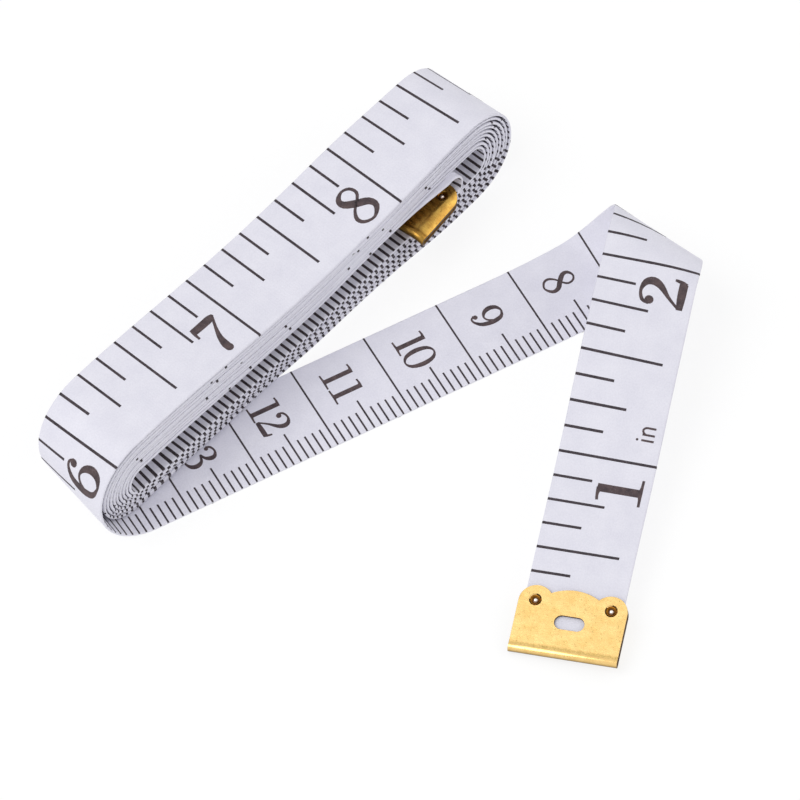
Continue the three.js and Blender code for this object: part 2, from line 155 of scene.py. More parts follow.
def roll_line(shift, runs, turns):
    """The roll's middle line: x, z and sideways offset at each point, from the top left inwards."""
    points = [np.array([[LEFT, TOP, 0.0]])]
    end_x = RIGHT - INNER_REACH
    end_z = float(cad_bottom_run(TURNS, end_x)) + CAD_THICK / 2 + SEAT_GAP + BEAD
    share = np.arange(1, runs + 1) / runs
    angle = np.pi * np.arange(1, turns + 1) / turns

    def left_end(k):
        """Where the bend after turn k starts; the inner ones nest in the wrap."""
        return LEFT + k * (shift - NEST_CLOSER) - (NEST if k else 0)

    def bend(x, upper, lower, side, downwards, out_above, out_below):
        """Half a turn about x between two heights; side is 1 at the right end and -1 at the left."""
        radius, middle = (upper - lower) / 2, (upper + lower) / 2
        z = middle + radius * np.cos(angle) * (1 if downwards else -1)
        low = smooth((upper - z) / (2 * radius))
        points.append(np.column_stack([x + side * radius * np.sin(angle), z, -out_above * (1 - low) - out_below * low]))

    for k in range(1, TURNS + 2):
        start, end = left_end(k - 1), left_end(k)
        bend_x = RIGHT - (INNER_BEND_BACK if k > TURNS else PULLED_IN)
        x = start + (bend_x - start) * share
        points.append(np.column_stack([x, top_run(k, x), -upper_out(k, x)]))
        under = end_z if k > TURNS else float(bottom_run(k, bend_x))
        out = 0.0 if k > TURNS else float(stand_out(k, bend_x))
        bend(bend_x, float(top_run(k, bend_x)), under, 1, True, float(upper_out(k, bend_x)), out)
        if k > TURNS:
            x = bend_x + (end_x - bend_x) * np.arange(1, END_CELLS + 1) / END_CELLS
            points.append(np.column_stack([x, np.full(END_CELLS, end_z), np.zeros(END_CELLS)]))
        else:
            x = bend_x + (end - bend_x) * share
            points.append(np.column_stack([x, bottom_run(k, x), -stand_out(k, x)]))
            above, below = float(upper_out(k + 1, end)), float(stand_out(k, end))
            bend(end, float(top_run(k + 1, end)), float(bottom_run(k, end)), -1, False, above, below)
    return np.concatenate(points)


def reached(points):
    """The length of strip up to each point."""
    return np.concatenate([[0.0], np.cumsum(np.hypot(np.diff(points[:, 0]), np.diff(points[:, 1])))])


def solve_shift():
    """How much shorter each turn's left end is than the last, so that the roll holds the whole strip."""
    spare = ROLL_START + reached(roll_line(0.0, MEASURE_CELLS, MEASURE_CELLS))[-1] - LENGTH
    return spare / (TURNS * (TURNS + 1))


ROLL = roll_line(solve_shift(), RUN_CELLS, BEND_CELLS)
ROLL_AT = ROLL_START + reached(ROLL)
HEADING = np.gradient(ROLL[:, :2], ROLL_AT, axis=0)
HEADING /= np.linalg.norm(HEADING, axis=1)[:, None]


def add_bend(frames, bends, s0, skew, radius, turned):
    """A bend about a skewed line, and the flat frame that follows it towards the zero end."""
    origin, along, across, normal = frames[-1]
    c, n = math.cos(skew), math.sin(skew)
    out, axis = -c * along + n * across, n * along + c * across
    start = origin + s0 * along + WIDTH / 2 * across
    end = start + radius * (math.sin(turned) * out - (1 - math.cos(turned)) * normal)
    out_1 = math.cos(turned) * out - math.sin(turned) * normal
    normal_1 = math.cos(turned) * normal + math.sin(turned) * out
    along_1, across_1 = -c * out_1 + n * axis, n * out_1 + c * axis
    bends.append((s0, skew, radius, turned, start, out, axis, normal))
    frames.append((end - radius * turned * out_1 - s0 * along_1 - WIDTH / 2 * across_1, along_1, across_1, normal_1))


def fold_turn():
    """The fold's angle, which lays the clip's bead on the ground."""
    corner = BEAD - (CLIP_SHEET + CLEARANCE)
    beyond = (FOLD_S - corner) * math.cos(FOLD_SKEW) - (WIDTH / 2 + CLIP_OVER) * math.sin(FOLD_SKEW)
    low, high = math.pi, 1.5 * math.pi
    for _ in range(HALVINGS):
        angle = (low + high) / 2
        tilt = math.sin(FOLD_SKEW) * math.sin(angle)
        height = CAD_THICK / 2 + FOLD_RADIUS * (1 - math.cos(angle)) + (beyond - FOLD_RADIUS * angle) * math.sin(angle)
        if height - BEAD * math.sqrt(1 - tilt**2) > 0:
            low = angle
        else:
            high = angle
    return low


X, Y, Z = np.eye(3)
FRAMES = [(np.array([LEFT - ROLL_START, WIDTH / 2, TOP]), X, -Y, Z)]
BENDS = []
add_bend(FRAMES, BENDS, WRAP_S, WRAP_SKEW, WRAP_RADIUS, math.pi)
add_bend(FRAMES, BENDS, FOLD_S, FOLD_SKEW, FOLD_RADIUS, fold_turn())
LEG_ORIGIN, LEG_ALONG, LEG_ACROSS, _ = FRAMES[1]
LEG_MIDDLE = LEG_ORIGIN + (FOLD_S + WRAP_S - math.pi * WRAP_RADIUS) / 2 * LEG_ALONG + WIDTH / 2 * LEG_ACROSS
# The CAD frame's origin lies on the ground under the middle of the flat leg
REST = np.array([LEG_MIDDLE[0], LEG_MIDDLE[1], 0.0])


def twisted(p):
    """The roll's right end twists, near edge up and far edge down, and its left bends follow the wrap's skew."""
    amount = smooth((p[:, 0] - TWIST_START) / (RIGHT - TWIST_START))
    side = -p[:, 1] / (WIDTH / 2)
    high = np.clip((p[:, 2] - TWIST_ABOVE) / (TOP - TWIST_ABOVE), 0, 1)
    p[:, 2] += TWIST_RISE * amount * side * high
    p[:, 0] += TWIST_LEAN * smooth((p[:, 0] - RIGHT) / TWIST_LEAN_OVER) * side
    at_left = smooth((LEFT + NEST_REACH - p[:, 0]) / NEST_REACH)
    p[:, 0] -= NEST_SKEW * at_left * smooth((TOP - NEST_BELOW - p[:, 2]) / NEST_OVER) * side
    return p


def crown(from_edge):
    """How far the tape's inner end and its clip arch up behind their near edge, which is pressed down."""
    return CROWN * (1 - (1 - np.clip(from_edge / CROWN_REACH, 0, 1)) ** 2)


def thickened(x, z, r, up):
    """The height above the tape's middle, scaled to the thickness that the tape has at its place in the roll."""
    thick = LOWER_THICK + (UPPER_THICK - LOWER_THICK) * smooth((z - THICKER_UP[0]) / THICKER_UP[1])
    thick = thick + (RIGHT_THICK - thick) * smooth((x - THINNER_RIGHT[0]) / THINNER_RIGHT[1])
    taken_up = smooth((r - ROLL_START) / THICKER_IN) * smooth((LENGTH - THINNER_OUT[0] - r) / THINNER_OUT[1])
    return up * (1 + (thick / THICK - 1) * taken_up)


def place_in_roll(r, w, h):
    """Through the roll's turns, and sideways along the run that creeps out at the inner end."""
    side = w - WIDTH / 2
    x, z, y = (np.interp(r, ROLL_AT, ROLL[:, i]) for i in range(3))
    dx, dz = np.interp(r, ROLL_AT, HEADING[:, 0]), np.interp(r, ROLL_AT, HEADING[:, 1])
    size = np.hypot(dx, dz)
    dx, dz = dx / size, dz / size
    up = thickened(x, z, r, h)
    share = np.clip((r - LENGTH + CREEP_LENGTH) / CREEP_LENGTH, 0, None)
    slope = 2 * CREEP / CREEP_RUN * CREEP_LENGTH
    creep = CREEP * (3 - 2 * share) * share**2 + slope * (share - 1) * share**2
    turn = np.arctan((6 * CREEP * (1 - share) * share + slope * (3 * share - 2) * share) / CREEP_LENGTH)
    along_x = x - dz * up - dx * side * np.sin(turn)
    along_z = z + dx * up - dz * side * np.sin(turn)
    out = twisted(np.column_stack([along_x, y - creep - side * np.cos(turn), along_z]))
    out[:, 2] += crown(WIDTH + CLIP_OVER - w) * smooth((r - LENGTH + CROWN_FROM_END) / CROWN_OVER)
    return out


def place_before_roll(s, w, h):
    """Through the wrap, the flat leg, the fold and the tail, whose frames and bends are taken in that order."""
    out = np.zeros((len(s), 3))
    left = np.ones(len(s), bool)
    for k in range(len(FRAMES)):
        done = left.copy()
        if k < len(BENDS):
            s0, skew, radius, turned, start, away, axis, normal = BENDS[k]
            q = (s0 - s) * math.cos(skew) + (w - WIDTH / 2) * math.sin(skew)
            done &= q <= 0
        origin, along, across, flat_normal = FRAMES[k]
        out[done] = origin + s[done, None] * along + w[done, None] * across + h[done, None] * flat_normal
        left &= ~done
        if k == len(BENDS):
            break
        bent = left & (q < radius * turned)
        run = ((s - s0) * math.sin(skew) + (w - WIDTH / 2) * math.cos(skew))[bent, None]
        a = (q / radius)[bent, None]
        arc = radius * (np.sin(a) * away - (1 - np.cos(a)) * normal)
        out[bent] = start + run * axis + arc + h[bent, None] * (np.cos(a) * normal + np.sin(a) * away)
        left &= ~bent
    return out


def place(flat):
    """From the flat tape (s from zero, w from the inch edge, h above its middle, in mm) to the folded one, in m."""
    s, w, h = flat[:, 0], flat[:, 1], flat[:, 2]
    rolled = s > ROLL_START
    out = np.zeros((len(flat), 3))
    out[rolled] = place_in_roll(s[rolled], w[rolled], h[rolled])
    out[~rolled] = place_before_roll(s[~rolled], w[~rolled], h[~rolled])
    for middle, spread, inch_rise, cm_rise in LIFTS:
        out[:, 2] += np.exp(-(((s - middle) / spread) ** 2)) * (inch_rise + (cm_rise - inch_rise) * w / WIDTH)
    return (out - REST) * MM


# ---------------------------------------------------------------- mesh helpers
def mesh_from(bm, name):
    mesh = bpy.data.meshes.new(name)
    bm.to_mesh(mesh)
    bm.free()
    return mesh


def put_in_scene(name, data):
    obj = bpy.data.objects.new(name, data)
    bpy.context.scene.collection.objects.link(obj)
    return obj


def piece_from(bm, name, material):
    mesh = mesh_from(bm, name)
    mesh.materials.append(material)
    return put_in_scene(name, mesh)


def lay(bm, name, material, smooth_faces=True):
    """Puts a flat mesh, whose corners are (s, w, h), in its folded place; the flat one is kept as an attribute."""
    obj = piece_from(bm, name, material)
    mesh = obj.data
    flat = np.zeros(len(mesh.vertices) * 3, np.float32)
    mesh.vertices.foreach_get("co", flat)
    kept = mesh.attributes.new("flat", "FLOAT_VECTOR", "POINT")
    kept.data.foreach_set("vector", flat)
    placed = place(flat.reshape(-1, 3).astype(float))
    mesh.vertices.foreach_set("co", placed.astype(np.float32).ravel())
    mesh.update()
    bm = bmesh.new()
    bm.from_mesh(mesh)
    bmesh.ops.recalc_face_normals(bm, faces=bm.faces)
    for face in bm.faces:
        face.smooth = smooth_faces
    bm.to_mesh(mesh)
    bm.free()
    return obj


# Corners closer than this are one
MERGE = 1e-4
# The tape's cross-section: steps round each edge, points across a face, and how far in from the edge they start
EDGE_STEPS, FACE_CELLS, FACE_INSET = 4, 8, 0.12


def section():
    """The tape's cross-section as a ring of (w, h): flat faces and rounded edges."""
    r = THICK / 2
    across = np.concatenate([[r], np.linspace(r + FACE_INSET, WIDTH - r - FACE_INSET, FACE_CELLS), [WIDTH - r]])
    turns = [math.pi * i / EDGE_STEPS for i in range(1, EDGE_STEPS)]
    ring = [(w, r) for w in across]
    ring += [(WIDTH - r + r * math.sin(turn), r * math.cos(turn)) for turn in turns]
    ring += [(w, -r) for w in across[::-1]]
    ring += [(r - r * math.sin(turn), -r * math.cos(turn)) for turn in turns]
    return np.array(ring)


def tape_run(name, rows, material):
    """A closed length of tape with a cross-section at each of the rows (s in mm)."""
    ring = section()
    bm = bmesh.new()
    count = len(ring)
    bmesh.ops.create_grid(bm, x_segments=len(rows) - 1, y_segments=count, size=0.5)
    for vert in bm.verts:
        i = round((vert.co.x + 0.5) * (len(rows) - 1))
        j = round((vert.co.y + 0.5) * count) % count
        vert.co = (rows[i], ring[j][0], ring[j][1])
    bmesh.ops.remove_doubles(bm, verts=bm.verts, dist=MERGE)
    caps = bmesh.ops.holes_fill(bm, edges=bm.edges, sides=0)["faces"]
    for edge in {edge for cap in caps for edge in cap.edges}:
        edge.smooth = False
    return lay(bm, name, material)


# ---------------------------------------------------------------- materials
def linear(hex_colour):
    """A colour written as in an image, for a node socket."""
    parts = [(hex_colour >> shift & 255) / 255 for shift in (16, 8, 0)]
    return [c / 12.92 if c <= 0.04045 else ((c + 0.055) / 1.055) ** 2.4 for c in parts] + [1.0]


class Nodes:
    """Short calls for building one node material."""

    def __init__(self, name):
        self.material = bpy.data.materials.new(name)
        self.material.use_nodes = True
        self.tree = self.material.node_tree
        self.tree.nodes.clear()
        self.out = self.new("ShaderNodeOutputMaterial")
        self.shader = self.new("ShaderNodeBsdfPrincipled")
        self.link(self.shader.outputs["BSDF"], self.out.inputs["Surface"])

    def new(self, kind, **settings):
        node = self.tree.nodes.new(kind)
        for key, value in settings.items():
            setattr(node, key, value)
        return node

    def link(self, a, b):
        self.tree.links.new(a, b)

    def put(self, node, key, value):
        if hasattr(value, "is_linked"):
            self.link(value, node.inputs[key])
        else:
            node.inputs[key].default_value = value

    def attribute(self, name):
        return self.new("ShaderNodeAttribute", attribute_name=name).outputs["Vector"]

    def math(self, operation, a, b=0.0):
        node = self.new("ShaderNodeMath", operation=operation)
        self.put(node, 0, a)
        self.put(node, 1, b)
        return node.outputs[0]

    def noise(self, vector, scale, detail=2.0, roughness=0.5):
        node = self.new("ShaderNodeTexNoise")
        self.link(vector, node.inputs["Vector"])
        node.inputs["Scale"].default_value = scale
        node.inputs["Detail"].default_value = detail
        node.inputs["Roughness"].default_value = roughness
        return node.outputs["Fac"]

    def scaled(self, vector, factors):
        node = self.new("ShaderNodeVectorMath", operation="MULTIPLY")
        self.link(vector, node.inputs[0])
        node.inputs[1].default_value = factors
        return node.outputs[0]

    def ramp(self, value, stops):
        node = self.new("ShaderNodeValToRGB")
        self.link(value, node.inputs["Fac"])
        ramp = node.color_ramp
        while len(ramp.elements) < len(stops):
            ramp.elements.new(0.5)
        for element, (position, colour) in zip(ramp.elements, stops):
            element.position = position
            element.color = colour if hasattr(colour, "__len__") else (colour, colour, colour, 1.0)
        return node.outputs["Color"]

    def mix(self, share, a, b):
        node = self.new("ShaderNodeMix", data_type="RGBA")
        for key, value in ((0, share), (6, a), (7, b)):
            self.put(node, key, value)
        return node.outputs[2]

    def bump(self, height, strength, distance):
        node = self.new("ShaderNodeBump")
        node.inputs["Strength"].default_value = strength
        node.inputs["Distance"].default_value = distance
        self.link(height, node.inputs["Height"])
        return node.outputs["Normal"]

    def surface(self, inputs):
        """Sets the shader's inputs and gives the finished material."""
        for key, value in inputs.items():
            self.put(self.shader, key, value)
        return self.material


# The cloth's threads, in mm
WARP_SPACING, WEFT_SPACING = 0.32, 0.38


def coated_cloth():
    """White coated cloth: a fine weave that shows through the coating, and a slight unevenness of tone."""
    m = Nodes("coated_cloth")
    where = m.attribute("flat")
    parts = m.new("ShaderNodeSeparateXYZ")
    m.link(where, parts.inputs[0])
    warp = m.math("ABSOLUTE", m.math("SINE", m.math("MULTIPLY", parts.outputs["Y"], math.pi / WARP_SPACING)))
    weft = m.math("ABSOLUTE", m.math("SINE", m.math("MULTIPLY", parts.outputs["X"], math.pi / WEFT_SPACING)))
    weave = m.math("MULTIPLY", warp, weft)
    grime = m.noise(where, 0.35, 3.0)
    grain = m.noise(where, 5.0, 3.0, 0.6)
    base = m.ramp(grime, [(0.3, linear(0xDFDEEA)), (0.7, linear(0xE9E8F2))])
    base = m.mix(0.35, base, m.ramp(grain, [(0.3, linear(0xD9D8E4)), (0.65, linear(0xEDECF6))]))
    height = m.math("ADD", m.math("MULTIPLY", weave, 0.5), m.math("MULTIPLY", grain, 0.8))
    normal = m.bump(height, 0.25, 0.03 * MM)
    return m.surface({"Base Color": base, "Roughness": 0.5, "Specular IOR Level": 0.3, "Normal": normal})


def print_ink(name, dark, light):
    """Brown-black print, thinner in specks where the weave stands high."""
    m = Nodes(name)
    where = m.attribute("flat")
    specks = m.noise(where, 9.0, 2.0, 0.7)
    tone = m.noise(where, 1.3, 2.0)
    base = m.ramp(tone, [(0.3, linear(dark)), (0.7, linear(light))])
    base = m.mix(m.ramp(specks, [(0.62, 0.0), (0.78, 0.55)]), base, linear(0xA9A3AC))
    return m.surface({"Base Color": base, "Roughness": 0.6, "Specular IOR Level": 0.25})


# How far in from a clip's outer edge the crease behind its bead lies
CREASE_AT = 1.02


def sheet_brass(name, light, dark, spot_and_shade, painted_bead_shade):
    """Rolled sheet brass: faint brushing and a few spots, with painted shade under the bead, in the crease behind it
    and, by the last argument, over the whole bead.
    """
    m = Nodes(name)
    where = m.attribute("sheet_place")
    parts = m.new("ShaderNodeSeparateXYZ")
    m.link(where, parts.inputs[0])
    deep, up = parts.outputs["X"], parts.outputs["Z"]
    brushed = m.noise(m.scaled(where, (9.0, 0.9, 9.0)), 1.0, 3.0, 0.6)
    mottled = m.noise(where, 0.9, 2.0)
    spotted = m.noise(m.scaled(where, (1.0, 1.6, 1.0)), 2.6, 3.0, 0.7)
    base = m.ramp(mottled, [(0.3, linear(dark)), (0.65, linear(light))])
    base = m.mix(m.ramp(brushed, [(0.35, 0.22), (0.6, 0.0)]), base, linear(dark))
    base = m.mix(m.ramp(spotted, [(0.6, 0.0), (0.68, 0.5)]), base, linear(spot_and_shade))
    # Painted shade: the crease behind the bead is darkened in patches towards the spot colour.
    off_crease = m.math("ABSOLUTE", m.math("SUBTRACT", deep, CREASE_AT))
    crease = m.math("SUBTRACT", 1.0, m.math("MULTIPLY", off_crease, 3.2))
    patchy = m.math("ADD", m.math("MULTIPLY", spotted, 1.4), -0.15)
    crease = m.math("MULTIPLY", m.math("MAXIMUM", crease, 0.0), patchy)
    base = m.mix(m.math("MINIMUM", crease, 0.7), base, linear(spot_and_shade))
    # Painted shade: the whole bead is darkened towards the spot colour by the last argument, which only the inner clip
    # sets.
    on_bead = m.math("LESS_THAN", deep, CREASE_AT)
    base = m.mix(m.math("MULTIPLY", on_bead, painted_bead_shade), base, linear(spot_and_shade))
    # Painted shade and painted dark reflection: the bead darkens to dark brown towards its underside.
    under = m.math("MULTIPLY", m.math("SUBTRACT", 0.42, up), 1.9)
    under = m.math("MULTIPLY", m.math("MAXIMUM", under, 0.0), on_bead)
    base = m.mix(m.math("MINIMUM", under, 0.95), base, linear(0x4A3512))
    rough = m.math("ADD", m.math("MULTIPLY", brushed, 0.12), 0.2)
    height = m.math("ADD", m.math("MULTIPLY", brushed, 0.2), m.math("MULTIPLY", mottled, 1.2))
    normal = m.bump(height, 0.3, 0.05 * MM)
    return m.surface({"Base Color": base, "Metallic": 1.0, "Roughness": rough, "Normal": normal})


def cut_brass(name, light, dark):
    """The sheet's cut edges, the walls of its pits and the faces between its leaves: dull brown, dark as painted shade
    for these edges and hollows.
    """
    m = Nodes(name)
    where = m.attribute("sheet_place")
    grain = m.noise(where, 7.0, 3.0, 0.6)
    base = m.ramp(grain, [(0.35, linear(dark)), (0.65, linear(light))])
    rough = m.math("ADD", m.math("MULTIPLY", grain, 0.2), 0.35)
    normal = m.bump(grain, 0.3, 0.03 * MM)
    return m.surface({"Base Color": base, "Metallic": 0.8, "Roughness": rough, "Normal": normal})


def rivet_steel():
    """A sunk rivet: pale at its middle, its steel with a painted glint, and dark in the groove round it as painted
    shade.
    """
    m = Nodes("rivet_metal")
    where = m.attribute("sheet_place")
    flat_way = m.scaled(where, (1.0, 1.0, 0.0))
    radius = m.new("ShaderNodeVectorMath", operation="LENGTH")
    m.link(flat_way, radius.inputs[0])
    grain = m.noise(where, 9.0, 3.0, 0.6)
    out = m.math("ADD", radius.outputs["Value"], m.math("MULTIPLY", m.math("SUBTRACT", grain, 0.5), 0.16))
    # From the middle out: pale steel with a painted glint, then painted shade, darkest in the groove and brown towards
    # the rim.
    tone = [(0.16, linear(0xE9E1DA)), (0.24, linear(0xA08776)), (0.33, linear(0x4A2A0C)), (0.6, linear(0x8A5A1C))]
    rough = m.math("ADD", m.math("MULTIPLY", grain, 0.2), 0.15)
    normal = m.bump(grain, 0.3, 0.03 * MM)
    return m.surface({"Base Color": m.ramp(out, tone), "Metallic": 1.0, "Roughness": rough, "Normal": normal})


cloth = coated_cloth()
# Wide figures take a browner, thinner coat than the fine lines of the scales
line_ink = print_ink("line_ink", 0x322C31, 0x453C41)
figure_ink = print_ink("figure_ink", 0x40363A, 0x5C4D4E)
# The inner clip's brass is a darker copy of the zero clip's, as painted shade for the roll that overhangs it; its last
# number paints shade over its whole bead.
zero_brass = sheet_brass("zero_clip_brass", 0xF5D08A, 0xE9C27A, 0x9C8444, 0.0)
inner_brass_shaded = sheet_brass("inner_clip_brass", 0xC8A150, 0xAA7E3A, 0x6E4A1A, 0.5)
brass_edge_shaded = cut_brass("brass_edge_shaded", 0x6A4A1E, 0x2E1E0C)
rivet_metal = rivet_steel()


# ---------------------------------------------------------------- the tape
# Where the tail ends and the run-out starts, with the fold between them
ZERO_END, TAIL_END, LEG_START = 0.0, 46.0, 74.6
# Cross-sections stand closer in a bend, from a little before it
RUN_STEP, BEND_STEP, BEFORE_BEND = 1.4, 0.32, 3.0


def rows_between(start, end, step):
    return list(np.linspace(start, end, max(2, round((end - start) / step) + 1)))


wrap_from = WRAP_S - math.pi * WRAP_RADIUS - BEFORE_BEND
leg_rows = rows_between(LEG_START, wrap_from, RUN_STEP)
wrap_rows = rows_between(wrap_from, ROLL_START, BEND_STEP)
wound_rows = leg_rows + wrap_rows[1:] + list(ROLL_AT[1:])
tape_wound = tape_run("cloth_tape_wound", wound_rows, cloth)
tape_fold = tape_run("cloth_tape_fold", rows_between(TAIL_END, LEG_START, BEND_STEP), cloth)
tape_tail = tape_run("cloth_tape_tail", rows_between(ZERO_END, TAIL_END, RUN_STEP), cloth)


# ---------------------------------------------------------------- the print
INCH = 25.4
# How far ink stands out of a face and reaches into it, and the widths of the ticks
INK_LIFT, INCH_STROKE, CM_STROKE = 0.014, 0.34, 0.23
# Every so many ticks, one reaches over this share of the tape's width
INCH_TICKS = {8: 1.0, 4: 0.84, 2: 0.58, 1: 0.40}
CM_TICKS = {10: 1.0, 5: 0.367, 1: 0.243}
# How far ticks lap round the edge: in the open, on the roll's upper and lower runs, and at a far edge
EDGE_WRAP, HIGH_WRAP, LOW_WRAP, FAR_WRAP = (math.radians(angle) for angle in (50, 25, 82, 80))
# Centimetre ticks are this much bolder within the roll, whose upper runs lie above this height
ROLL_STROKE, UPPER_PART = 1.55, 4.6
LAP_STEPS, PLATE_STEP = 3, 1.2


def tick_plate(name, length, stroke, on_inch_side, fine, wrap):
    """A closed plate of ink across the tape from its edge, at s = 0, which laps over the rounded edges it meets."""
    r = THICK / 2
    lap = [wrap * i / LAP_STEPS for i in range(LAP_STEPS, 0, -1)]
    full = length > WIDTH - r
    reach = WIDTH - r if full else length
    steps = max(1, round((reach - r) / PLATE_STEP)) if fine else 1
    # (middle of the round, turn): the plate's height and place follow from these at any thickness of ink
    path = [(r, -turn) for turn in lap] + [(r + (reach - r) * i / steps, 0.0) for i in range(steps + 1)]
    if full:
        path += [(WIDTH - r, FAR_WRAP * i / LAP_STEPS) for i in range(1, LAP_STEPS + 1)]
    bm = bmesh.new()
    bmesh.ops.create_grid(bm, x_segments=1, y_segments=len(path) - 1, size=0.5)
    places = {vert: (vert.co.x, round((vert.co.y + 0.5) * (len(path) - 1))) for vert in bm.verts}
    side = bmesh.ops.extrude_face_region(bm, geom=bm.faces[:])["geom"]
    lower = {vert for vert in side if isinstance(vert, bmesh.types.BMVert)}
    for vert in bm.verts:
        x, j = places[vert] if vert in places else (vert.co.x, round((vert.co.y + 0.5) * (len(path) - 1)))
        middle, turn = path[j]
        radius = r + (-INK_LIFT if vert in lower else INK_LIFT)
        vert.co = (stroke * (0.5 if x > 0 else -0.5), middle + radius * math.sin(turn), radius * math.cos(turn))
    if not on_inch_side:
        for vert in bm.verts:
            vert.co = (vert.co.x, WIDTH - vert.co.y, -vert.co.z)
    return mesh_from(bm, name)


# ---------------------------------------------------------------- figures
# Each figure is 1 high. A stroke's points are (x, y, share), where share goes from a thin line to a full one; a dot is
# (x, y, radius share). A closed stroke ends where it starts.
FIGURES = {
    "0": ([[(0.34, 0.98, 0), (0.15, 0.85, 0.6), (0.08, 0.5, 1), (0.15, 0.15, 0.6), (0.34, 0.02, 0), (0.53, 0.15, 0.6),
            (0.6, 0.5, 1), (0.53, 0.85, 0.6), (0.34, 0.98, 0)]], []),
    "1": ([[(0.37, 0.97, 1), (0.37, 0.5, 1), (0.37, 0.04, 1)],
           [(0.1, 0.03, 0), (0.24, 0.035, 0.05), (0.37, 0.05, 0.3), (0.5, 0.035, 0.05), (0.64, 0.03, 0)],
           [(0.12, 0.93, 0), (0.25, 0.945, 0.1), (0.37, 0.92, 0.6)]], []),
    "2": ([[(0.08, 0.76, 0.05), (0.13, 0.91, 0.2), (0.31, 0.975, 0.1), (0.48, 0.9, 0.7), (0.53, 0.74, 1),
            (0.45, 0.56, 0.7), (0.26, 0.36, 0.15), (0.08, 0.12, 0)],
           [(0.06, 0.09, 0.6), (0.34, 0.095, 1), (0.57, 0.095, 1)],
           [(0.56, 0.03, 0.2), (0.6, 0.14, 0.2), (0.63, 0.29, 0)]], [(0.15, 0.76, 1)]),
    "3": ([[(0.08, 0.8, 0.05), (0.15, 0.93, 0.2), (0.32, 0.98, 0.1), (0.47, 0.9, 0.7), (0.49, 0.76, 1),
            (0.4, 0.61, 0.4), (0.24, 0.54, 0)],
           [(0.24, 0.54, 0), (0.46, 0.47, 0.4), (0.55, 0.3, 1), (0.5, 0.12, 0.8), (0.33, 0.02, 0.1),
            (0.15, 0.06, 0.2), (0.07, 0.2, 0.05)]], [(0.14, 0.79, 0.8), (0.14, 0.21, 0.8)]),
    "4": ([[(0.44, 0.96, 0.1), (0.24, 0.62, 0), (0.04, 0.29, 0)],
           [(0.03, 0.27, 0), (0.35, 0.27, 0.1), (0.66, 0.27, 0)],
           [(0.45, 0.96, 1), (0.45, 0.5, 1), (0.45, 0.03, 1)],
           [(0.25, 0.03, 0), (0.45, 0.04, 0.2), (0.64, 0.03, 0)]], []),
    "5": ([[(0.14, 0.92, 0.7), (0.35, 0.92, 0.7), (0.57, 0.93, 0.3)],
           [(0.13, 0.95, 0), (0.11, 0.72, 0), (0.1, 0.52, 0)],
           [(0.1, 0.53, 0), (0.28, 0.62, 0.15), (0.48, 0.52, 0.8), (0.55, 0.32, 1), (0.47, 0.1, 0.7),
            (0.3, 0.02, 0.1), (0.14, 0.07, 0.2), (0.07, 0.2, 0.05)]], [(0.14, 0.21, 0.8)]),
    "6": ([[(0.53, 0.85, 0.05), (0.45, 0.96, 0.05), (0.31, 0.93, 0.25), (0.15, 0.75, 0.8), (0.09, 0.45, 1),
            (0.12, 0.2, 0.8), (0.2, 0.08, 0.4), (0.32, 0.03, 0.05)],
           [(0.14, 0.4, 0.1), (0.22, 0.54, 0.1), (0.36, 0.6, 0.05), (0.51, 0.5, 0.7), (0.57, 0.31, 1),
            (0.51, 0.12, 0.7), (0.36, 0.03, 0.1), (0.24, 0.05, 0.1)]], [(0.47, 0.83, 0.95)]),
    "7": ([[(0.08, 0.89, 0.9), (0.34, 0.89, 1), (0.52, 0.9, 0.9), (0.62, 0.93, 0)],
           [(0.09, 0.97, 0.1), (0.07, 0.84, 0.1), (0.06, 0.68, 0)],
           [(0.61, 0.93, 0), (0.46, 0.66, 0.1), (0.35, 0.42, 0.5), (0.3, 0.2, 1), (0.3, 0.09, 1)]], [(0.3, 0.1, 1)]),
    "8": ([[(0.33, 0.975, 0.05), (0.17, 0.88, 0.5), (0.16, 0.72, 0.9), (0.33, 0.54, 1), (0.52, 0.38, 0.9),
            (0.54, 0.18, 0.6), (0.34, 0.02, 0.05), (0.14, 0.1, 0.2), (0.09, 0.26, 0.3), (0.2, 0.44, 0.05),
            (0.38, 0.57, 0.05), (0.51, 0.72, 0.15), (0.48, 0.9, 0.15), (0.33, 0.975, 0.05)]], []),
}
FIGURE_WIDTH = 0.68
# A 9 is a 6 turned round
FIGURES["9"] = (
    [[(FIGURE_WIDTH - x, 1 - y, share) for x, y, share in stroke] for stroke in FIGURES["6"][0]],
    [(FIGURE_WIDTH - x, 1 - y, share) for x, y, share in FIGURES["6"][1]],
)
LETTERS = {
    "i": ([[(0.2, 0.66, 0), (0.2, 0.33, 0), (0.2, 0.0, 0)]], [(0.2, 0.88, 0.8)]),
    "n": ([[(0.12, 0.66, 0), (0.12, 0.33, 0), (0.12, 0.0, 0)],
           [(0.12, 0.5, 0), (0.24, 0.63, 0), (0.38, 0.65, 0), (0.49, 0.52, 0), (0.5, 0.25, 0), (0.5, 0.0, 0)]], []),
}


def spline(points, per_piece):
    """A smooth path through the points, each with its share."""
    p = np.array(points, float)
    closed = np.allclose(p[0, :2], p[-1, :2])
    padded = np.vstack([p[-2] if closed else 2 * p[0] - p[1], p, p[1] if closed else 2 * p[-1] - p[-2]])
    out = []
    for i in range(1, len(padded) - 2):
        a, b, c, d = padded[i - 1 : i + 3]
        for t in np.arange(per_piece) / per_piece:
            square, cube = (2 * a - 5 * b + 4 * c - d) * t**2, (3 * b - a - 3 * c + d) * t**3
            out.append(0.5 * (2 * b + (c - a) * t + square + cube))
    out.append(p[-1])
    return np.array(out)


# Steps along each part of a stroke and cells across a wide one: finer where the print shows, plainer within the roll
FINE, PLAIN, FINE_UNTIL = (3, 4), (2, 1), 320.0
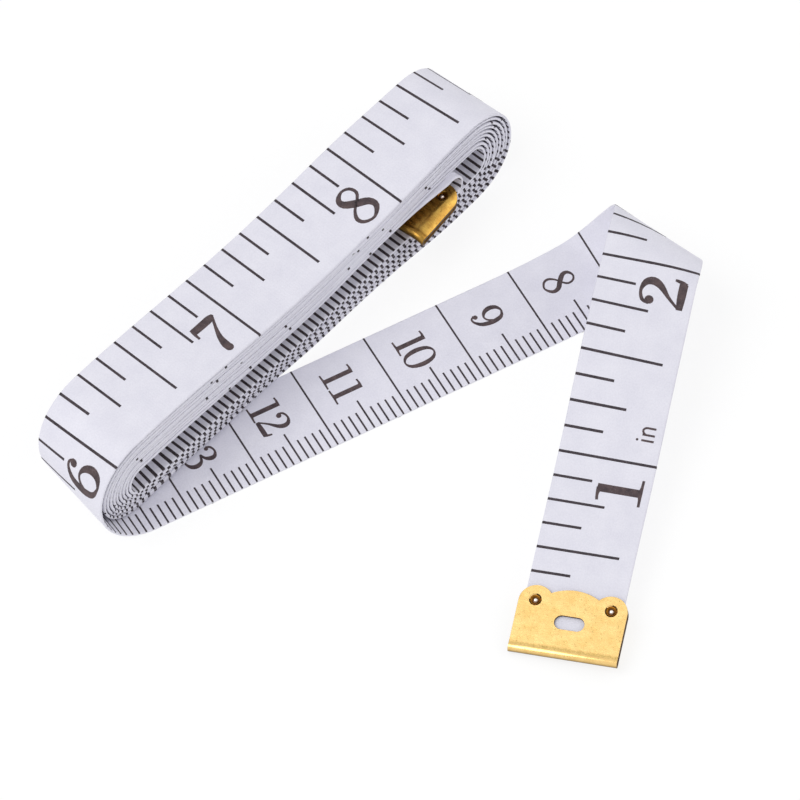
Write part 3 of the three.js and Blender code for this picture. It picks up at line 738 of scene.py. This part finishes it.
# A stroke whose half width passes this gets more cells, and each stroke of a figure stands so much above the last
WIDE_FROM, LEVEL_STEP = 0.3, 0.0015


def thicken(bm, verts, low):
    """Makes a flat patch a closed plate, whose other face lies at the height low."""
    faces = list({face for vert in verts for face in vert.link_faces})
    made = bmesh.ops.extrude_face_region(bm, geom=faces)["geom"]
    for vert in [part for part in made if isinstance(part, bmesh.types.BMVert)]:
        vert.co.z = low


def ribbon(bm, path, halves, low, high, wide_cells):
    """A closed plate along a path, as wide as twice halves, with cells across so that it follows the bends."""
    heading = np.gradient(path, axis=0)
    if np.allclose(path[0], path[-1]):
        heading[0] = heading[-1] = path[1] - path[-2]
    heading /= np.linalg.norm(heading, axis=1)[:, None]
    side = np.column_stack([-heading[:, 1], heading[:, 0]]) * halves[:, None]
    cells = wide_cells if halves.max() > WIDE_FROM else 1
    grid = bmesh.ops.create_grid(bm, x_segments=len(path) - 1, y_segments=cells, size=0.5)["verts"]
    for vert in grid:
        i = round((vert.co.x + 0.5) * (len(path) - 1))
        x, y = path[i] + side[i] * 2 * vert.co.y
        vert.co = (x, y, high)
    thicken(bm, grid, low)


def glyph(name, shape, height, wide, weights, detail):
    """A figure as closed plates, whose tops stand a hair apart so that no two lie in one plane. Sizes in mm."""
    size = np.array([height * wide, height])
    strokes, dots = shape
    thin, full, dot = weights
    steps, wide_cells = detail
    bm = bmesh.new()
    level = INK_LIFT
    for stroke in strokes:
        path = spline(stroke, steps)
        halves = thin + (full - thin) * np.clip(path[:, 2], 0, 1)
        ribbon(bm, path[:, :2] * size, halves, -INK_LIFT, level, wide_cells)
        level += LEVEL_STEP
    for x, y, share in dots:
        radius = dot * share
        disc = bmesh.ops.create_circle(bm, cap_ends=True, cap_tris=True, segments=4 * steps, radius=radius)["verts"]
        for vert in disc:
            vert.co += Vector((x * size[0], y * size[1], level))
        thicken(bm, disc, -INK_LIFT)
        level += LEVEL_STEP
    for face in bm.faces:
        face.material_index = 1
    return mesh_from(bm, name)


# Inch figures have their feet to the centimetre edge; centimetre figures stand across, with their feet to higher s
INCH_FIGURE, INCH_FOOT, INCH_BEFORE, INCH_PITCH = 5.65, 0.95, 1.3, 4.1
INCH_WIDE, ONE_BEFORE = 1.17, 0.45
CM_FIGURE, CM_PITCH, CM_MIDDLE, CM_FOOT = 4.1, 2.45, 4.5, 2.6
UNIT_FIGURE, UNIT_FOOT, UNIT_AT, UNIT_PITCH = 2.3, 1.0, 28.0, 0.9
# Half the width of a thin line, half that of a full one, and a dot's radius
INCH_WEIGHTS, CM_WEIGHTS, UNIT_WEIGHTS = (0.16, 0.53, 0.56), (0.11, 0.31, 0.33), (0.13, 0.13, 0.2)
FACE = THICK / 2


def figure_set(name, shapes, height, wide, weights, on_inch_side, detail):
    """The figures as meshes that are turned to stand on one face of the flat tape."""
    turned = {}
    for key, shape in shapes.items():
        mesh = glyph(f"{name}_{key}", shape, height, wide, weights, detail)
        if on_inch_side:
            mesh.transform(Matrix(((1, 0, 0, 0), (0, -1, 0, 0), (0, 0, 1, FACE), (0, 0, 0, 1))))
        else:
            mesh.transform(Matrix(((0, -1, 0, 0), (1, 0, 0, 0), (0, 0, -1, -FACE), (0, 0, 0, 1))))
        turned[key] = mesh
    return turned


inch_figures, cm_figures = {}, {}
for detail in (FINE, PLAIN):
    inch_figures[detail] = figure_set("inch", FIGURES, INCH_FIGURE, INCH_WIDE, INCH_WEIGHTS, True, detail)
    cm_figures[detail] = figure_set("cm", FIGURES, CM_FIGURE, 1.0, CM_WEIGHTS, False, detail)
unit_letters = figure_set("unit", LETTERS, UNIT_FIGURE, 1.0, UNIT_WEIGHTS, True, FINE)


class Print:
    """Ink shapes gathered for one piece, then laid on the tape."""

    def __init__(self, name, start, end):
        self.name, self.start, self.end = name, start, end
        self.bm = bmesh.new()

    def stamp(self, mesh, s, w=0.0):
        moved = mesh.copy()
        moved.transform(Matrix.Translation((s, w, 0)))
        self.bm.from_mesh(moved)
        bpy.data.meshes.remove(moved)

    def holds(self, s):
        return self.start <= s < self.end

    def finish(self):
        obj = lay(self.bm, self.name, line_ink, smooth_faces=False)
        obj.data.materials.append(figure_ink)
        return obj


# The print starts and ends beneath the clips
PRINT_START, PRINT_END = 5.0, LENGTH - 4.0
prints = [
    Print("print_tail", PRINT_START, TAIL_END),
    Print("print_fold", TAIL_END, LEG_START),
    Print("print_wound", LEG_START, PRINT_END),
]


def print_at(s):
    return next((p for p in prints if p.holds(s)), None)


def stamp_ticks(spacing, kinds, stroke, on_inch_side):
    """Ticks on one side. In the roll the centimetre ticks are bolder, and ticks lap further over the edge where that
    edge looks up.
    """
    for part, wrap in (("open", EDGE_WRAP), ("high", HIGH_WRAP), ("low", LOW_WRAP)):
        rolled = part != "open"
        bold = stroke * (ROLL_STROKE if rolled and not on_inch_side else 1)
        plates = {
            n: tick_plate(f"tick_{n}_{part}", share * WIDTH, bold, on_inch_side, not rolled, wrap)
            for n, share in kinds.items()
        }
        for i in range(1, int(LENGTH / spacing)):
            s = i * spacing
            if s < ROLL_START + 1:
                found = "open"
            else:
                found = "high" if np.interp(s, ROLL_AT, ROLL[:, 1]) > UPPER_PART else "low"
            target = print_at(s)
            if found == part and target:
                target.stamp(plates[next(n for n in sorted(kinds, reverse=True) if i % n == 0)], s)


stamp_ticks(INCH / 8, INCH_TICKS, INCH_STROKE, True)
stamp_ticks(1.0, CM_TICKS, CM_STROKE, False)

for n in range(1, int(LENGTH / INCH) + 1):
    text = str(n)
    wide = (len(text) - 1) * INCH_PITCH + FIGURE_WIDTH * INCH_FIGURE * INCH_WIDE
    first = n * INCH - INCH_BEFORE - wide - (ONE_BEFORE if n == 1 else 0)
    target = print_at(n * INCH)
    shapes = inch_figures[FINE if n * INCH < FINE_UNTIL else PLAIN]
    for i, key in enumerate(text):
        if target:
            target.stamp(shapes[key], first + i * INCH_PITCH, WIDTH - INCH_FOOT)
for n in range(1, int(LENGTH / 10) + 1):
    text = str(n)
    wide = (len(text) - 1) * CM_PITCH + FIGURE_WIDTH * CM_FIGURE
    target = print_at(n * 10 - 5)
    shapes = cm_figures[FINE if n * 10 < FINE_UNTIL else PLAIN]
    for i, key in enumerate(text):
        if target:
            target.stamp(shapes[key], n * 10 - CM_FOOT, CM_MIDDLE - wide / 2 + i * CM_PITCH)
for i, key in enumerate("in"):
    prints[0].stamp(unit_letters[key], UNIT_AT + i * UNIT_PITCH, WIDTH - UNIT_FOOT)

print_tail, print_fold, print_wound = [p.finish() for p in prints]

# ---------------------------------------------------------------- the clips and their rivets
CLIP_DEPTH, RIVET_FROM_EDGE, RIVET_INSET = 8.6, 1.85, 2.0
LEAF_FACE = CAD_THICK / 2 + CLIP_SLACK + CLIP_SHEET
CLIP_WIDTH, IN_CLIP = WIDTH + 2 * CLIP_OVER, CLIP_SHEET + CLEARANCE
# Edges sharper than the first angle are eased by EDGE_ROUND; faces that meet below the second shade as one
EDGE_ROUND, SHARP_FROM, SHADED_UNTIL = 0.09, math.radians(35), math.radians(40)
RIVET_SIDES = 24
# A sunk rivet's outline from its middle out and down: (radius, depth below the leaf's face)
RIVET_OUTLINE = [(0.0, 0.06), (0.12, 0.075), (0.2, 0.12), (0.27, 0.2), (0.33, 0.24), (0.4, 0.22), (0.5, 0.15),
                 (0.6, 0.06), (0.615, 0.08), (0.34, 0.3)]


def zero_corner():
    """The outer corner of a clip's bead and its ways in, across and up, in mm of the strip's first place."""
    origin, along, across, normal = FRAMES[2]
    return origin - IN_CLIP * along - CLIP_OVER * across, along, across, normal


def inner_corner():
    """The same for the inner clip, which is turned with the end of the creeping run."""
    turn = math.atan(2 * CREEP / CREEP_RUN)
    inwards = np.array([math.cos(turn), math.sin(turn), 0.0])
    across = np.array([math.sin(turn), -math.cos(turn), 0.0])
    end = np.array([ROLL[-1][0], -CREEP, ROLL[-1][1]])
    return end - IN_CLIP * inwards - (WIDTH / 2 + CLIP_OVER) * across, inwards, across, Z


def keep_place(mesh, values):
    kept = mesh.attributes.new("sheet_place", "FLOAT_VECTOR", "POINT")
    kept.data.foreach_set("vector", values.astype(np.float32).ravel())


def clip_sheet(node, corner, materials, arched):
    """The clip with its cut edges eased and darkened with painted shade, made on a copy of the node's own form; the
    inner one is arched.
    """
    start, inwards, across, up = corner
    bm = bmesh.new()
    bm.from_mesh(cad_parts[node].data)
    bmesh.ops.remove_doubles(bm, verts=bm.verts, dist=0.0005 * MM)
    bmesh.ops.dissolve_limit(bm, angle_limit=math.radians(1.0), verts=bm.verts, edges=bm.edges)
    sharp = [edge for edge in bm.edges if edge.is_manifold and edge.calc_face_angle(0.0) > SHARP_FROM]
    bmesh.ops.bevel(
        bm, geom=sharp, offset=EDGE_ROUND * MM, segments=2, profile=0.5, affect="EDGES", material=1, clamp_overlap=True
    )
    for i in range(CROWN_CUTS if arched else 0):
        cut = start + (CLIP_WIDTH - CROWN_REACH * (i + 1) / CROWN_CUTS) * across - REST
        whole = [*bm.verts, *bm.edges, *bm.faces]
        bmesh.ops.bisect_plane(bm, geom=whole, dist=MERGE * MM, plane_co=cut * MM, plane_no=across)
    for face in bm.faces:
        middle = np.array(face.calc_center_median()) / MM + REST - start
        normal = np.array(face.normal)
        behind_bead = middle @ inwards > 2 * BEAD
        inside = abs(middle @ up) < LEAF_FACE - CLIP_SHEET / 2
        # Painted shade: side walls, and behind the bead the faces between the leaves and the walls of the pits and far
        # end, take the dark second material.
        if abs(normal @ across) > 0.7 or (behind_bead and (inside or abs(normal @ up) < 0.5)):
            face.material_index = 1
        at_arch = arched and middle @ across > CLIP_WIDTH - CROWN_REACH
        face.smooth = not behind_bead or face.material_index == 1 or at_arch
    for edge in bm.edges:
        edge.smooth = edge.calc_face_angle(0.0) < SHADED_UNTIL
    mesh = mesh_from(bm, f"{node}_sheet")
    points = np.zeros(len(mesh.vertices) * 3)
    mesh.vertices.foreach_get("co", points)
    local = points.reshape(-1, 3) / MM + REST - start
    keep_place(mesh, np.column_stack([local @ inwards, local @ across, local @ up]))
    if arched:
        points[2::3] += crown(CLIP_WIDTH - local @ across) * MM
        mesh.vertices.foreach_set("co", points)
        mesh.update()
    for material in materials:
        mesh.materials.append(material)
    return put_in_scene(f"{node}_sheet", mesh)


def sunk_rivet(name, corner, side, rise):
    """A rivet turned from its outline, the same on both faces."""
    start, inwards, across, up = corner
    outline = [(radius, LEAF_FACE - depth) for radius, depth in RIVET_OUTLINE]
    outline += [(radius, -height) for radius, height in reversed(outline)]
    bm = bmesh.new()
    verts = [bm.verts.new((radius, 0.0, height)) for radius, height in outline]
    edges = [bm.edges.new(pair) for pair in zip(verts, verts[1:])]
    bmesh.ops.spin(bm, geom=verts + edges, axis=(0, 0, 1), angle=2 * math.pi, steps=RIVET_SIDES, use_merge=True)
    bmesh.ops.remove_doubles(bm, verts=bm.verts, dist=MERGE)
    bmesh.ops.recalc_face_normals(bm, faces=bm.faces)
    for face in bm.faces:
        face.smooth = True
    mesh = mesh_from(bm, name)
    points = np.zeros(len(mesh.vertices) * 3)
    mesh.vertices.foreach_get("co", points)
    keep_place(mesh, points.reshape(-1, 3))
    middle = start + (CLIP_DEPTH - RIVET_FROM_EDGE) * inwards + side * across + rise * Z - REST
    turned = Matrix([inwards, across, np.cross(inwards, across)]).transposed().to_4x4()
    mesh.transform(Matrix.Translation(middle * MM) @ turned @ Matrix.Scale(MM, 4))
    mesh.materials.append(rivet_metal)
    return put_in_scene(name, mesh)


# ---------------------------------------------------------------- what rides on what
# Heights at the hinge for the fold's turn with the free end; the loop below sets them on copies of the hinge but only
# bakes the fold's pieces in place.
FOLD_BLEND_FROM, FOLD_BLEND_TO = 0.9, 9.2
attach(tape_wound, "wound_tape")
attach(print_wound, "wound_tape")
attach(tape_tail, "free_end")
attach(print_tail, "free_end")
for piece in (tape_fold, print_fold):
    start, end = HINGE.copy(), HINGE.copy()
    start[2], end[2] = FOLD_BLEND_FROM, FOLD_BLEND_TO
    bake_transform(piece)
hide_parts("tape_wound_run")
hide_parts("tape_tail")

for node, body, corner, material in (
    ("zero_clip", "free_end", zero_corner(), zero_brass),
    ("inner_clip", "wound_tape", inner_corner(), inner_brass_shaded),
):
    arched = node == "inner_clip"
    pieces = {node: clip_sheet(node, corner, [material, brass_edge_shaded], arched)}
    rise = CROWN if arched else 0
    for letter, side in (("a", RIVET_INSET), ("b", CLIP_WIDTH - RIVET_INSET)):
        pieces[f"{node}_rivet_{letter}"] = sunk_rivet(f"{node}_sunk_rivet_{letter}", corner, side, rise)
    for replaced, piece in pieces.items():
        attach(piece, body)
        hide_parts(replaced)

# ---------------------------------------------------------------- floor, light and camera
FLOOR_HALF, FLOOR_DROP, FLOOR_GREY, FLOOR_GLOW, WORLD_LIGHT = 1.5, 0.06, 0.22, 0.8, 0.58
floor_bm = bmesh.new()
bmesh.ops.create_grid(floor_bm, x_segments=1, y_segments=1, size=FLOOR_HALF)
white = Nodes("floor_white").surface(
    {
        "Base Color": (FLOOR_GREY, FLOOR_GREY, FLOOR_GREY, 1.0),
        "Roughness": 0.9,
        "Specular IOR Level": 0.0,
        "Emission Color": (1.0, 1.0, 1.0, 1.0),
        "Emission Strength": FLOOR_GLOW,
    }
)
floor = piece_from(floor_bm, "floor", white)
floor.data.transform(Matrix.Translation((0, 0, -FLOOR_DROP * MM)))

world = bpy.data.worlds.new("studio")
bpy.context.scene.world = world
world.use_nodes = True
sky = world.node_tree.nodes["Background"]
sky.inputs["Color"].default_value = (1, 1, 1, 1)
ray = world.node_tree.nodes.new("ShaderNodeLightPath")
seen = world.node_tree.nodes.new("ShaderNodeMath")
seen.operation = "MAXIMUM"
brightness = world.node_tree.nodes.new("ShaderNodeMapRange")
brightness.inputs["To Min"].default_value = WORLD_LIGHT
brightness.inputs["To Max"].default_value = 1.0
world.node_tree.links.new(ray.outputs["Is Camera Ray"], seen.inputs[0])
world.node_tree.links.new(ray.outputs["Is Glossy Ray"], seen.inputs[1])
world.node_tree.links.new(seen.outputs[0], brightness.inputs["Value"])
world.node_tree.links.new(brightness.outputs["Result"], sky.inputs["Strength"])


def area_light(name, position, size, power):
    """A square lamp that points at the object."""
    light = bpy.data.lights.new(name, "AREA")
    light.shape, light.size = "SQUARE", size
    light.energy = power
    obj = put_in_scene(name, light)
    obj.location = position
    obj.rotation_mode = "QUATERNION"
    obj.rotation_quaternion = (-Vector(position)).to_track_quat("-Z", "Y")


area_light("key", (-0.35, 0.15, 0.6), 0.5, 2.15)
area_light("fill", (0.5, -0.4, 0.5), 0.5, 0.85)

# The photograph's camera: where it stands, its focal length in pixels, and its shift in mm
AZIMUTH, ELEVATION = math.radians(-48.55), math.radians(56.59)
DISTANCE, FOCAL_PIXELS, PICTURE, SENSOR = 1000.0, 8259.0, 800, 36.0
SHIFT_RIGHT, SHIFT_UP = 14.683, -10.12
level = math.cos(ELEVATION)
back = np.array([math.sin(AZIMUTH) * level, -math.cos(AZIMUTH) * level, math.sin(ELEVATION)])
to_right = np.array([math.cos(AZIMUTH), math.sin(AZIMUTH), 0.0])
upwards = np.cross(back, to_right)
camera_data = bpy.data.cameras.new("camera")
camera_data.sensor_width = SENSOR
camera_data.lens = FOCAL_PIXELS / PICTURE * camera_data.sensor_width
camera_data.clip_start, camera_data.clip_end = 0.05, 20.0
camera = put_in_scene("camera", camera_data)
camera.location = (back * DISTANCE + to_right * SHIFT_RIGHT + upwards * SHIFT_UP - REST) * MM
camera.rotation_mode = "QUATERNION"
camera.rotation_quaternion = Matrix([to_right, upwards, back]).transposed().to_quaternion()
bpy.context.scene.camera = camera
bpy.context.scene.view_settings.view_transform = "Standard"
